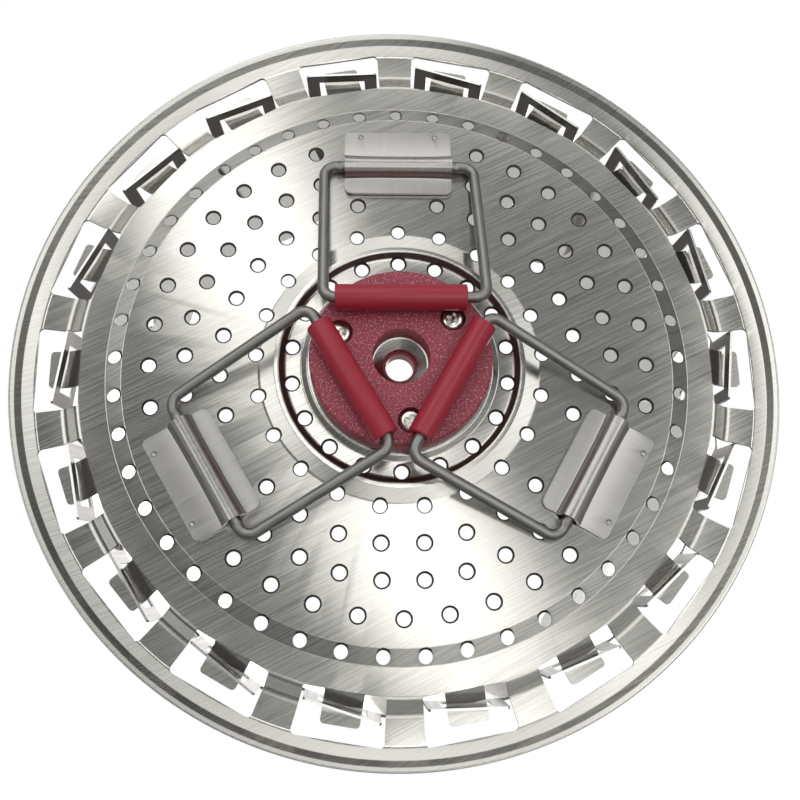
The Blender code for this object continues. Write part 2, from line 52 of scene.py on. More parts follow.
# GAP is kept between pieces, and OVERRUN is how far cutters reach past what they cut
MM = 0.001
GAP = 0.3
OVERRUN = 2.0
Z_AXIS = Vector((0, 0, 1))

# Edges that are sharper than these angles are shaded sharp
SHARP = math.radians(32)
SHARP_CUT = math.radians(30)
SHARP_BEND = math.radians(10)
SHARP_SLEEVE = math.radians(40)
SHARP_WIRE = math.radians(60)

# Rounded corners: half the angle from which a corner counts as straight, the most of a side that an arc may
# take, and the steps in an arc
STRAIGHT_HALF = math.radians(89.5)
SIDE_SHARE = 0.48
CORNER_STEPS = 6
EDGE_STEPS = 4

# Heights of the stack, from the resting surface up
SLEEVE_R = 2.85
SLEEVE_SIDES = 12
APOTHEM = SLEEVE_R * math.cos(math.pi / SLEEVE_SIDES)
BOSS_T = 5.2
FACE_Z = 2 * APOTHEM + GAP
SHEET = 0.6
SEAT_Z = FACE_Z + BOSS_T + GAP
HUB_Z = SEAT_Z + SHEET + GAP

# Dish: corners of its underside as (radius, height above the seat, bend radius), out to its turned-down lip
DISH_SEGMENTS = 216
RING_RISE = 3.9
LIP_EDGE = 0.28
BEND_STEPS = 5
DISH_CORNERS = (
    (3.75, 1.4, 0.0),
    (6.0, 0.0, 1.5),
    (19.9, 0.0, 0.8),
    (21.2, 0.7, 0.8),
    (24.6, 0.7, 0.8),
    (25.9, -0.4, 0.6),
    (26.9, -0.4, 0.6),
    (30.1, 0.4, 3.0),
    (59.1, 0.7, 0.6),
    (62.7, 2.0, 0.6),
    (68.9, 2.0, 2.6),
    (71.8, RING_RISE, 3.4),
    (77.9, RING_RISE, 1.6),
    (80.3, 2.75, 1.2),
    (81.45, 1.75, 1.2),
    (82.42, 1.2, 0.0),
)

# Rows of holes as (radius, number of holes), less the holes that would open within HOLE_ROOM of a clip. Each
# hole is sunk at 45 degrees by HOLE_SINK, of which SINK_BELOW is under the sheet at the hole's inner side.
ROWS = ((23.4, 18), (30.9, 21), (38.4, 27), (45.9, 33), (53.4, 36), (60.9, 45))
HOLE_R = 1.42
HOLE_SIDES = 24
HOLE_ROOM = 0.8
HOLE_SINK = 0.44
SINK_BELOW = 0.06 * HOLE_SINK

# A face counts as a cut edge, painted dark as painted shade, where its normal's upright part is below
# EDGE_TILT, out to EDGE_REACH
EDGE_TILT = 0.8
EDGE_REACH = 79.0

# Windows of the hinge ring, each with a tongue, whose line is (radius, height above the seat)
PETALS = 18
WINDOW_IN = 68.1
WINDOW_OUT = 77.8
WINDOW_HALF = math.radians(7.0)
TONGUE_END = 74.8
TONGUE_HALF = 4.0
WINDOW_OUTER_CORNER = 1.0
WINDOW_INNER_CORNER = 0.35
TONGUE_CORNER = 0.8
TONGUE_LINE = ((WINDOW_IN, 2.0), (70.9, 3.35), (72.3, 3.6), (TONGUE_END, 3.65))

# Petals, in their hinge frame. PETAL_EDGE is (height, half width) up to ROUND_START, where half an ellipse
# takes over that ends at PETAL_TOP. Petals bow across their width at PETAL_BOW_R.
PETAL_R = joints["petal_hinge_01"]["pos_m"][0] / MM
PETAL_Z = joints["petal_hinge_01"]["pos_m"][2] / MM
PETAL_AXIS = Vector(joints["petal_hinge_01"]["axis"])
PETAL_LEAN = math.radians(9)
PETAL_T = 0.5
PETAL_BOW_R = 149.7
PETAL_TOP = 55.1
PETAL_HOLE_R = 1.6
PETAL_HOLE_HEIGHTS = (19.635, 35.904)
SLOT_LOW = -0.6
SLOT_HIGH = 5.0
SLOT_HALF = 5.24
ROOT_HALF = 8.11
SHOULDER = 9.0
# Below this height a petal is painted near black: painted shade on its root, inside the hinge ring
SHADED_ROOT_TOP = 6.0
ROUND_START = 38.1
ROUND_HALF = 17.05
PETAL_EDGE = (
    (-2.7, 7.7),
    (-2.3, ROOT_HALF),
    (5.6, ROOT_HALF),
    (SHOULDER, 13.0),
    (ROUND_START, ROUND_HALF),
)

# Mesh lines of a petal: heights, turns round its top in degrees, and shares of its half width
PETAL_HEIGHTS = (0.9, 2.6, 6.4, 7.2, 8.1, 10.2, 15, 20, 25, 30, 34)
PETAL_TURNS = (12, 24, 36, 47, 57, 66, 74, 80, 84)
PETAL_SHARES = (0.2, 0.42, 0.76, 0.88, 0.97, 1)

# Legs by number, with the azimuth of each. LEG_R and LEG_Z place the hinge. Widths are measured from its
# middle, and LEG_CORNERS are the wire's bend radii.
LEGS = {1: math.radians(270), 2: math.radians(30), 3: math.radians(150)}
LEG_R = -joints["leg_hinge_1"]["pos_m"][1] / MM
LEG_Z = joints["leg_hinge_1"]["pos_m"][2] / MM
FOOT_R = 11.9
WIRE_R = 1.2
WIRE_SIDES = 20
LEG_LEFT = -16.3
LEG_RIGHT = 17.1
LEG_RIGHT_FOOT = 18.2
LEG_CORNERS = (2.8, 2.8, 2.6, 2.6)
WIRE_BEND_STEPS = 10
SLEEVE_HALF = 13.8
SLEEVE_BORE = 1.5
SLEEVE_EDGES = (0.1, 0.25, 0.25, 0.1)
SLEEVE_SEGMENTS = 48

# Pinches that keep the wire from sliding in its clip: distance beyond the clip's end, width and thickness
PINCH = ((0.6, 1.0, 1.0), (0.9, 1.18, 0.86), (1.3, 1.18, 0.86), (1.6, 1.0, 1.0))

# Clips: the slope is the dish's own there, and the hump flares towards both ends
CLIP_HALF = 12.0
CLIP_OFFSET = 0.2
CLIP_T = 0.8
CLIP_FLANGE = 8.9
CLIP_TAIL = 6.3
CLIP_BEND = 0.4
CLIP_DIP = 0.12
CLIP_HUMP_STEPS = 20
CLIP_SLOPE = math.radians(0.593)
CLIP_FLARE = 0.25
CLIP_FLARE_POWER = 4
CLIP_STATIONS = (-1, -0.93, -0.8, -0.6, -0.3, 0, 0.3, 0.6, 0.8, 0.93, 1)
CLIP_CORNERS = ((CLIP_FLANGE, 1.2), (-CLIP_TAIL, 1.6))
CLIP_CORNER_STEPS = 8
WELD_PLACES = (-8.1, 8.6)
WELD_INSET = 1.2
WELD_R = 0.9
WELD_DEPTH = 0.28
WELD_SEGMENTS = (20, 12)

# Boss, hub and screws; edges are radii, from the bore's lower edge round the outline
TURNED_SEGMENTS = 128
BOSS_R = 19.3
BOSS_BORE = 5.95
BOSS_EDGES = (0.35, 0.8, 0.1, 0.1)
HUB_R = 17.0
HUB_T = 5.5
HUB_BORE = 3.05
HUB_EDGES = (0, 0, 0, 0.1, 1.4, 0.3)
HUB_EDGE_STEPS = 8
HUB_HOLLOW_R = 6.3
HUB_HOLLOW = 1.7
SCREW_START = 82.7
SCREW_TURNS = tuple(math.radians(SCREW_START + 120 * k) for k in range(3))
SCREW_CIRCLE = 13.9
SCREW_R = 1.3
SCREW_SEGMENTS = 40
HEAD_R = 2.45
HEAD_T = 1.6
COUNTERBORE = 2.2
COUNTERBORE_SEGMENTS = 32
SCREW_GRIP = 3.6

# Crown of a head, as shares of its radius and thickness, and the cross cut into it
HEAD_CURVE = ((0.49, 0.0), (0.78, 0.08), (0.94, 0.28), (1.0, 0.5))
CROSS_REACH = 1.3
CROSS_HALF = 0.35
CROSS_DEPTH = 0.9
CROSS_TURN = 0.4

# Floor and lamp, in metres
FLOOR_SIZE = 8.0
FLOOR_COLOUR = (0.86, 0.86, 0.86)
FLOOR_ROUGHNESS = 0.9
LAMP_PLACE = Vector((0.5, -0.5, 1.1))
LAMP_SIZE = 0.8
LAMP_POWER = 8.0

# Room that the steel mirrors: PATCH_LEVEL bright round PATCH_CENTRE, below the basket. Its rings lie round
# this direction: from and to in degrees, change of brightness.
PATCH_CENTRE = Vector((0.0, -0.24, -0.97))
PATCH_LEVEL = 0.29
RINGS = (
    (10, 17, -0.14),
    (24, 28, 2.35),
    (40, 50, -2.25),
    (58, 64, -0.17),
    (67, 70, 1.0),
    (76, 80, -1.0),
)

# Spots add their brightness, and figures dim what is behind them: direction, soft edge in degrees, amount
SPOTS = (
    (Vector((0.076, -0.082, -0.961)), (3, 9), 5.0),
    (Vector((-0.128, -0.455, -0.961)), (3, 9), 5.0),
    (Vector((-0.21, -0.31, -0.96)), (3, 13), -0.21),
)
FIGURES = (
    (Vector((-0.38, 0.35, -0.85)), (10, 24), 0.15),
    (Vector((0.50, -0.73, -0.96)), (8, 17), 0.25),
)

# Rise in brightness towards the upper half of the room, between two heights of the direction
HORIZON = (-0.25, 0.7)
HORIZON_RISE = 0.8

# The photograph's camera. Its place is in millimetres, from a point on the basket's axis CAMERA_LEVEL above
# the seat, its focal length in picture widths, its sensor in millimetres and the rest in metres.
CAMERA_PITCH = math.radians(-15.84)
CAMERA_YAW = math.radians(2.51)
CAMERA_ROLL = math.radians(0.88)
CAMERA_LEVEL = 2.06
CAMERA_PLACE = Vector((0.05, -7.11, 220.0))
CAMERA_FOCUS = 1019.9 / 800
SENSOR = 36.0
NEAREST = 0.01
FARTHEST = 20

# Finishes. Depths are in metres, and ranges are of the noise behind each effect.
BRUSH_DEPTH = 0.00004
BRUSH_DETAIL = 3.0
BRUSH_GLOSS_RANGE = (0.3, 0.7)
BRUSH_TINT_RANGE = (0.35, 0.6)
BRUSH_TURN = math.radians(-26)
BRUSH_UV = "brush"
BRUSH_TILE = 0.01
PETAL_BRUSH = math.radians(90)
GRAIN_DEPTH = 0.0002
GRAIN_SCALE = 2600
GRAIN_DETAIL = 2.0
SPECKLE_RANGE = (0.54, 0.74)
SPECKLE_SHARE = 0.6
RED = (0.34, 0.035, 0.062)


def shader(name, colour, rough, metal=0.0):
    mat = bpy.data.materials.new(name)
    mat.use_nodes = True
    bsdf = mat.node_tree.nodes["Principled BSDF"]
    bsdf.inputs["Base Color"].default_value = (*colour, 1)
    bsdf.inputs["Roughness"].default_value = rough
    bsdf.inputs["Metallic"].default_value = metal
    return mat, bsdf


def add_node(tree, kind, inputs=None, **settings):
    made = tree.nodes.new(kind)
    for key, value in settings.items():
        setattr(made, key, value)
    for key, value in (inputs or {}).items():
        made.inputs[key].default_value = value
    return made


def remap(tree, source, low, high, to_low, to_high, interpolation="LINEAR"):
    limits = {"From Min": low, "From Max": high, "To Min": to_low, "To Max": to_high}
    made = add_node(tree, "ShaderNodeMapRange", limits, interpolation_type=interpolation)
    tree.links.new(source, made.inputs["Value"])
    return made.outputs["Result"]


def blend_colours(tree, bsdf, share, first, second):
    mix = add_node(tree, "ShaderNodeMix", data_type="RGBA")
    mix.inputs["A"].default_value = (*first, 1)
    mix.inputs["B"].default_value = (*second, 1)
    tree.links.new(share, mix.inputs["Factor"])
    tree.links.new(mix.outputs["Result"], bsdf.inputs["Base Color"])


def relief(tree, bsdf, source, strength, depth):
    bump = add_node(tree, "ShaderNodeBump", {"Strength": strength, "Distance": depth})
    tree.links.new(source, bump.inputs["Height"])
    tree.links.new(bump.outputs["Normal"], bsdf.inputs["Normal"])


def streaks(tree, angle, across, along, height):
    """Noise drawn out along one direction of the object's XY plane; the scales are cycles in a metre."""
    coords = add_node(tree, "ShaderNodeTexCoord")
    turn = add_node(tree, "ShaderNodeMapping", {"Rotation": (0, 0, -angle)})
    scale = add_node(tree, "ShaderNodeMapping", {"Scale": (along, across, height)})
    noise = add_node(tree, "ShaderNodeTexNoise", {"Scale": 1.0, "Detail": BRUSH_DETAIL})
    tree.links.new(coords.outputs["Object"], turn.inputs["Vector"])
    tree.links.new(turn.outputs["Vector"], scale.inputs["Vector"])
    tree.links.new(scale.outputs["Vector"], noise.inputs["Vector"])
    return noise.outputs["Fac"]


def steel(name, colour, rough, brush, angle=0.0, strength=0.1, spread=0.05, dull=0.86, anisotropy=0.0):
    """Brushed steel: fine lines along one direction, in the gloss, the relief and a little in the colour.

    The brush is its cycles in a metre across the lines, along them and in height.
    """
    mat, bsdf = shader(name, colour, rough, 1.0)
    tree = mat.node_tree
    fine = streaks(tree, angle, *brush)
    gloss = remap(tree, fine, *BRUSH_GLOSS_RANGE, rough - spread, rough + spread)
    tree.links.new(gloss, bsdf.inputs["Roughness"])
    relief(tree, bsdf, fine, strength, BRUSH_DEPTH)
    tint = remap(tree, fine, *BRUSH_TINT_RANGE, 0.0, 1.0)
    blend_colours(tree, bsdf, tint, [c * dull for c in colour], colour)
    if anisotropy:
        bsdf.inputs["Anisotropic"].default_value = anisotropy
        tangent = add_node(tree, "ShaderNodeTangent", direction_type="UV_MAP", uv_map=BRUSH_UV)
        tree.links.new(tangent.outputs["Tangent"], bsdf.inputs["Tangent"])
    return mat


def plastic(name, colour, rough, grain, speckle=None):
    """Moulded plastic with a fine grain; a speckle colour shows where the grain stands highest."""
    mat, bsdf = shader(name, colour, rough)
    tree = mat.node_tree
    coords = add_node(tree, "ShaderNodeTexCoord")
    noise = add_node(tree, "ShaderNodeTexNoise", {"Scale": GRAIN_SCALE, "Detail": GRAIN_DETAIL})
    tree.links.new(coords.outputs["Object"], noise.inputs["Vector"])
    relief(tree, bsdf, noise.outputs["Fac"], grain, GRAIN_DEPTH)
    if speckle:
        share = remap(tree, noise.outputs["Fac"], *SPECKLE_RANGE, 0.0, SPECKLE_SHARE)
        blend_colours(tree, bsdf, share, colour, speckle)
    return mat


DISH = steel("dish_steel", (0.60, 0.59, 0.548), 0.19, (2800, 60, 70), BRUSH_TURN, 0.034, 0.02, anisotropy=1.0)
# Near-black dull steel for cut edges and steep steps: painted shade of the hole walls and the pressed step
CUT_EDGE_SHADE = steel("cut_edge_painted_shade", (0.13, 0.12, 0.115), 0.38, (900, 900, 90), dull=0.9)
PETAL = steel("petal_steel", (0.68, 0.67, 0.64), 0.24, (1800, 90, 90), PETAL_BRUSH, dull=0.92)
# Near-black steel for the petals' roots: painted shade of the basket's dark inside, seen through the windows
PETAL_ROOT_SHADE = steel("petal_root_painted_shade", (0.10, 0.092, 0.086), 0.34, (1800, 90, 90), PETAL_BRUSH, dull=0.9)
CLIP = steel("clip_steel", (0.48, 0.47, 0.445), 0.32, (1400, 60, 90), 0.0, 0.02, 0.03, dull=0.94)
WIRE = steel("wire_steel", (0.33, 0.325, 0.31), 0.42, (900, 200, 90), math.radians(90), strength=0.06)
SCREW = steel("screw_steel", (0.78, 0.76, 0.70), 0.24, (900, 900, 900), dull=0.9)
BOSS = plastic("boss_plastic", RED, 0.42, 0.35, speckle=(0.80, 0.60, 0.64))
HUB = plastic("hub_plastic", RED, 0.42, 0.25)
SLEEVE = plastic("sleeve_silicone", (0.40, 0.022, 0.045), 0.36, 0.03)


def dressed(name, bm, mat=None, matrix=None, sharp=SHARP):
    """An object from a bmesh in millimetres; without a material it is a cutter."""
    bmesh.ops.recalc_face_normals(bm, faces=bm.faces)
    bm.transform(Matrix.Diagonal((MM, MM, MM, 1)))
    mesh = bpy.data.meshes.new(name)
    bm.to_mesh(mesh)
    bm.free()
    obj = bpy.data.objects.new(name, mesh)
    bpy.context.scene.collection.objects.link(obj)
    if matrix:
        obj.matrix_world = matrix
    if mat:
        mesh.materials.append(mat)
        mesh.shade_smooth()
        mesh.set_sharp_from_angle(angle=sharp)
    return obj


def stand_in(obj, body, replaced):
    """Puts an object in the place of a CAD node, on that node's body."""
    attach(obj, body)
    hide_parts(replaced)


def cut(obj, cutter, sharp=SHARP):
    """Subtracts the cutter and applies the result, so only plain meshes stay."""
    modifier = obj.modifiers.new("cut", "BOOLEAN")
    modifier.operation = "DIFFERENCE"
    modifier.solver = "EXACT"
    modifier.object = cutter
    graph = bpy.context.evaluated_depsgraph_get()
    mesh = bpy.data.meshes.new_from_object(obj.evaluated_get(graph), depsgraph=graph)
    plain = obj.data
    obj.modifiers.clear()
    obj.data = mesh
    bpy.data.meshes.remove(plain)
    bpy.data.objects.remove(cutter, do_unlink=True)
    mesh.shade_smooth()
    mesh.set_sharp_from_angle(angle=sharp)


def turned(bm, outline, segments, at=(0, 0)):
    """Revolves a closed outline of (radius, height) about an upright axis, where its points are shared."""
    rings = []
    for radius, height in outline:
        if radius == 0:
            rings.append([bm.verts.new((at[0], at[1], height))] * segments)
            continue
        rings.append([bm.verts.new((x, y, height)) for x, y in circle(radius, segments, at)])
    loft(bm, rings + rings[:1])


def prism(bm, outline, bottom, top, matrix=None):
    """A plan outline raised from one height to another."""
    matrix = matrix or Matrix.Identity(4)
    low = [bm.verts.new(matrix @ Vector((x, y, bottom))) for x, y in outline]
    high = [bm.verts.new(matrix @ Vector((x, y, top))) for x, y in outline]
    bm.faces.new(low[::-1])
    bm.faces.new(high)
    for k in range(len(outline)):
        after = (k + 1) % len(outline)
        bm.faces.new((low[k], low[after], high[after], high[k]))


def loft(bm, rings):
    """Skins a chain of rings, with triangles round a shared point."""
    sides = len(rings[0])
    for ring, after in zip(rings, rings[1:]):
        for k in range(sides):
            follows = (k + 1) % sides
            distinct = list(dict.fromkeys([ring[k], ring[follows], after[follows], after[k]]))
            if len(distinct) > 2:
                bm.faces.new(distinct)


def circle(radius, sides, centre=(0, 0)):
    turns = [2 * math.pi * k / sides for k in range(sides)]
    return [(centre[0] + radius * math.cos(a), centre[1] + radius * math.sin(a)) for a in turns]


def offset_line(points, distance):
    """Shifts an open line sideways, to its left for a positive distance, with mitred bends."""
    vectors = [Vector(p) for p in points]
    runs = [(b - a).normalized() for a, b in zip(vectors, vectors[1:])]
    shifted = []
    for k, point in enumerate(vectors):
        before, after = runs[max(k - 1, 0)], runs[min(k, len(runs) - 1)]
        normals = [Vector((-run.y, run.x)) for run in (before, after)]
        mitre = (normals[0] + normals[1]).normalized()
        shifted.append(tuple(point + mitre * distance / mitre.dot(normals[0])))
    return shifted


def rounded(points, radii, steps=CORNER_STEPS, closed=True):
    """Corners replaced by arcs that take less than half of a side. An open line keeps its ends."""
    out = []
    count = len(points)
    for k in range(count):
        corner = Vector(points[k])
        if not closed and k in (0, count - 1) or radii[k] <= 0:
            out.append(tuple(corner))
            continue
        to_a, to_b = Vector(points[k - 1]) - corner, Vector(points[(k + 1) % count]) - corner
        before, after = to_a.normalized(), to_b.normalized()
        half = before.angle(after) / 2
        if half > STRAIGHT_HALF:
            out.append(tuple(corner))
            continue
        radius = min(radii[k], SIDE_SHARE * min(to_a.length, to_b.length) * math.tan(half))
        centre = corner + (before + after).normalized() * radius / math.sin(half)
        start = corner + before * radius / math.tan(half) - centre
        sweep = math.copysign(math.pi - 2 * half, after.cross(before))
        for step in range(steps + 1):
            out.append(tuple(centre + Matrix.Rotation(sweep * step / steps, 2) @ start))
    return out


def polar(azimuth, radius=0.0, height=0.0):
    """A frame at this azimuth, radius and height: X outwards, Y along the tangent, Z up."""
    return Matrix.Rotation(azimuth, 4, "Z") @ Matrix.Translation((radius, 0, height))


def in_metres(matrix):
    """Changes a frame's place from millimetres to metres."""
    matrix.translation = matrix.translation * MM
    return matrix


def dish_line():
    """(radius, height above the seat) along the dish's underside, from the centre hole to the lip."""
    corners = [(radius, height) for radius, height, bend in DISH_CORNERS]
    return rounded(corners, [bend for radius, height, bend in DISH_CORNERS], BEND_STEPS, closed=False)


def under_a_clip(x, y):
    """True where a hole would open behind a leg clip."""
    room = HOLE_R + HOLE_ROOM
    for azimuth in LEGS.values():
        out = x * math.cos(azimuth) + y * math.sin(azimuth)
        side = -x * math.sin(azimuth) + y * math.cos(azimuth)
        if LEG_R - CLIP_TAIL - room < out < LEG_R + CLIP_FLANGE + room and abs(side) < CLIP_HALF + room:
            return True
    return False


def window():
    """Plan outline of one window, with the tongue left standing from its inner edge."""
    side = math.tan(WINDOW_HALF)
    half = [
        (TONGUE_END, TONGUE_HALF),
        (WINDOW_IN, TONGUE_HALF),
        (WINDOW_IN, WINDOW_IN * side),
        (WINDOW_OUT, WINDOW_OUT * side),
    ]
    radii = [TONGUE_CORNER, WINDOW_INNER_CORNER, WINDOW_INNER_CORNER, WINDOW_OUTER_CORNER]
    return rounded([(x, -y) for x, y in half] + half[::-1], radii + radii[::-1], BEND_STEPS)


def screw_places():
    return [(SCREW_CIRCLE * math.cos(a), SCREW_CIRCLE * math.sin(a)) for a in SCREW_TURNS]


def make_dish():
    """The dish: its section revolved, with holes, windows and screw holes cut through."""
    low = [(radius, SEAT_Z + height) for radius, height in dish_line()]
    high = offset_line(low, SHEET)
    lip = [low[-2], low[-1], high[-1], high[-2]]
    tip = rounded(lip, [0, LIP_EDGE, LIP_EDGE, 0], EDGE_STEPS, closed=False)[1:-1]
    bm = bmesh.new()
    turned(bm, low[:-1] + tip + high[:-1][::-1], DISH_SEGMENTS)
    dish = dressed("look_base_plate", bm, DISH)
    bm = bmesh.new()
    bottom, top = SEAT_Z - OVERRUN, SEAT_Z + RING_RISE + OVERRUN
    wide = HOLE_R + HOLE_SINK
    for radius, count in ROWS:
        mouth = SEAT_Z + value_on(dish_line(), radius - HOLE_R) - SINK_BELOW
        drill = [(0, bottom), (wide, bottom), (wide, mouth)]
        drill += [(HOLE_R, mouth + HOLE_SINK), (HOLE_R, top), (0, top)]
        for k in range(count):
            azimuth = LEGS[1] + 2 * math.pi * k / count
            x, y = radius * math.cos(azimuth), radius * math.sin(azimuth)
            if not under_a_clip(x, y):
                turned(bm, drill, HOLE_SIDES, (x, y))
    for k in range(PETALS):
        prism(bm, window(), bottom, top, polar(2 * math.pi * k / PETALS))
    for place in screw_places():
        prism(bm, circle(SCREW_R + GAP, HOLE_SIDES, place), bottom, top)
    cut(dish, dressed("dish_cutter", bm), SHARP_CUT)
    bend_tongues(dish.data)
    brush_map(dish.data)
    paint_edge_shade(dish.data)
    stand_in(dish, "basket", "base_plate")


def paint_edge_shade(mesh):
    """Gives the cut edges of holes and windows, and the steepest pressed step, a dark dull steel: painted
    shade of hole walls and step.
    """
    # The near-black edge steel paints the shade of the hole walls and the steep step
    mesh.materials.append(CUT_EDGE_SHADE)
    for face in mesh.polygons:
        if abs(face.normal.z) < EDGE_TILT and face.center.xy.length < EDGE_REACH * MM:
            face.material_index = 1


def value_on(line, at):
    """Second value of a line of pairs, where the first value is this one."""
    for (a0, b0), (a1, b1) in zip(line, line[1:]):
        if a0 <= at <= a1:
            return b0 + (b1 - b0) * (at - a0) / (a1 - a0)
    return line[-1][1]


def bend_tongues(mesh):
    """Sets each tongue to its own line, which climbs to the petal's bar and is nearly flat beyond it."""
    dish = dish_line()
    for vert in mesh.vertices:
        azimuth = math.atan2(vert.co.y, vert.co.x)
        nearest = round(azimuth * PETALS / (2 * math.pi)) * 2 * math.pi / PETALS
        radius = vert.co.xy.length * math.cos(azimuth - nearest) / MM
        aside = abs(vert.co.xy.length * math.sin(azimuth - nearest)) / MM
        if WINDOW_IN < radius < WINDOW_OUT - OVERRUN and aside < TONGUE_HALF + GAP:
            vert.co.z += (value_on(TONGUE_LINE, radius) - value_on(dish, vert.co.xy.length / MM)) * MM
    mesh.set_sharp_from_angle(angle=SHARP_BEND)


def brush_map(mesh):
    """A UV map whose first direction runs across the brushed lines, for the shader's tangent."""
    uv = mesh.uv_layers.new(name=BRUSH_UV)
    across = Matrix.Rotation(-BRUSH_TURN - math.pi / 2, 2)
    for corner in mesh.loops:
        place = mesh.vertices[corner.vertex_index].co
        uv.data[corner.index].uv = across @ place.xy / BRUSH_TILE


def petal_half_width(height):
    if height < ROUND_START:
        return value_on(PETAL_EDGE, height)
    along = (height - ROUND_START) / (PETAL_TOP - ROUND_START)
    return ROUND_HALF * math.sqrt(max(1 - along * along, 0))


def petal_bow(across, height):
    """How far the petal bows inwards, flat at the root and arched above the shoulder."""
    return -min(max(height / SHOULDER, 0), 1) * across * across / (2 * PETAL_BOW_R)


def petal_pattern():
    """One petal in its hinge frame: X along the hinge, Y up the petal, Z outwards."""
    heights = [height for height, half_width in PETAL_EDGE] + [SLOT_LOW, SLOT_HIGH, *PETAL_HEIGHTS]
    for degrees in PETAL_TURNS:
        heights.append(ROUND_START + (PETAL_TOP - ROUND_START) * math.sin(math.radians(degrees)))
    heights.sort()
    share = SLOT_HALF / ROOT_HALF
    half = sorted([*PETAL_SHARES, share])
    columns = [-u for u in half[::-1]] + [0] + half
    slot_rows = range(heights.index(SLOT_LOW), heights.index(SLOT_HIGH))
    slot_columns = range(columns.index(-share), columns.index(share))
    last_row, last_column = len(heights) - 1, len(columns) - 1

    def solid(row, column):
        inside = 0 <= row < last_row and 0 <= column < last_column
        return inside and not (row in slot_rows and column in slot_columns)

    bm = bmesh.new()
    grids = []
    for rise in (-PETAL_T / 2, PETAL_T / 2):
        grid = []
        for h in heights:
            spots = [u * petal_half_width(h) for u in columns]
            grid.append([bm.verts.new((x, h, petal_bow(x, h) + rise)) for x in spots])
        grids.append(grid)
    low, high = grids
    for r in range(last_row):
        for c in range(last_column):
            if not solid(r, c):
                continue
            for grid in grids:
                face = bm.faces.new((grid[r][c], grid[r][c + 1], grid[r + 1][c + 1], grid[r + 1][c]))
                # Faces low on the root take the near-black steel, which is painted shade
                face.material_index = int(heights[r] < SHADED_ROOT_TOP)
            rims = {(r - 1, c): ((r, c), (r, c + 1)), (r + 1, c): ((r + 1, c), (r + 1, c + 1))}
            rims |= {(r, c - 1): ((r, c), (r + 1, c)), (r, c + 1): ((r, c + 1), (r + 1, c + 1))}
            for beyond, ((ar, ac), (br, bc)) in rims.items():
                if not solid(*beyond):
                    bm.faces.new((low[ar][ac], low[br][bc], high[br][bc], high[ar][ac]))
    bmesh.ops.delete(bm, geom=[v for v in bm.verts if not v.link_faces], context="VERTS")
    pattern = dressed("petal_pattern", bm, PETAL)
    # The second material is the painted shade on the root
    pattern.data.materials.append(PETAL_ROOT_SHADE)
    bm = bmesh.new()
    for height in PETAL_HOLE_HEIGHTS:
        prism(bm, circle(PETAL_HOLE_R, HOLE_SIDES, (0, height)), -OVERRUN, OVERRUN)
    cut(pattern, dressed("petal_cutter", bm), SHARP_CUT)
    return pattern


def make_petals():
    """All petals share one mesh; each stands in its own hinge frame and leans on its root."""
    pattern = petal_pattern()
    hinge = PETAL_AXIS.normalized()
    inwards = hinge.cross(Z_AXIS).normalized() * -1
    up = inwards.cross(hinge) * -1
    upright = Matrix((hinge, up, hinge.cross(up))).transposed().to_4x4()
    leaning = upright @ Matrix.Rotation(-PETAL_LEAN, 4, "X")
    for k in range(PETALS):
        name = f"petal_{k + 1:02d}"
        obj = bpy.data.objects.new("look_" + name, pattern.data)
        bpy.context.scene.collection.objects.link(obj)
        turn = Matrix.Rotation(2 * math.pi * k / PETALS, 4, "Z")
        obj.matrix_world = in_metres(turn @ Matrix.Translation((PETAL_R, 0, PETAL_Z))) @ leaning
        stand_in(obj, name, name)
    bpy.data.objects.remove(pattern)


def wire_path(length):
    """(place, width, thickness) round a leg's closed wire: X along the hinge, Y towards the foot."""
    corners = [(LEG_LEFT, 0), (LEG_RIGHT, 0), (LEG_RIGHT_FOOT, length), (LEG_LEFT, length)]
    path = [(Vector(spot), 1.0, 1.0) for spot in rounded(corners, LEG_CORNERS, WIRE_BEND_STEPS)]
    pinches = []
    for side in (-1, 1):
        for shift, wide, flat in PINCH:
            pinches.append((Vector((CLIP_OFFSET + side * (CLIP_HALF + shift), 0)), wide, flat))
    first_bend_end = WIRE_BEND_STEPS + 1
    path[first_bend_end:first_bend_end] = sorted(pinches, key=lambda pinch: pinch[0].x)
    return path


def make_leg(number, azimuth):
    """A folded leg: the wire in its own frame at the hinge, and the sleeve on its foot."""
    drop = LEG_Z - APOTHEM
    fall = math.atan2(drop, LEG_R - FOOT_R)
    length = math.hypot(drop, LEG_R - FOOT_R)
    inwards = Matrix.Rotation(math.pi / 2, 4, "Z") @ Matrix.Rotation(-fall, 4, "X")
    place = polar(azimuth, LEG_R, LEG_Z) @ inwards
    path = wire_path(length)
    bm = bmesh.new()
    rings = []
    for k, (here, wide, flat) in enumerate(path):
        before, after = here - path[k - 1][0], path[(k + 1) % len(path)][0] - here
        along = (before.normalized() + after.normalized()).normalized()
        aside = Vector((-along.y, along.x))
        ring = []
        for x, y in circle(WIRE_R, WIRE_SIDES):
            ring.append(bm.verts.new((*(here + aside * x * wide), y * flat)))
        rings.append(ring)
    loft(bm, rings + rings[:1])
    wire = dressed(f"look_leg_wire_{number}", bm, WIRE, in_metres(place.copy()), SHARP_WIRE)
    stand_in(wire, f"leg_{number}", f"leg_wire_{number}")
    bm = bmesh.new()
    outline = [(SLEEVE_BORE, -SLEEVE_HALF), (APOTHEM, -SLEEVE_HALF)]
    outline += [(APOTHEM, SLEEVE_HALF), (SLEEVE_BORE, SLEEVE_HALF)]
    turned(bm, rounded(outline, SLEEVE_EDGES, EDGE_STEPS), SLEEVE_SEGMENTS)
    bm.transform(place @ Matrix.Translation((0, length, 0)) @ Matrix.Rotation(math.pi / 2, 4, "Y"))
    sleeve = dressed(f"look_foot_sleeve_{number}", bm, SLEEVE, sharp=SHARP_SLEEVE)
    stand_in(sleeve, f"leg_{number}", f"foot_sleeve_{number}")


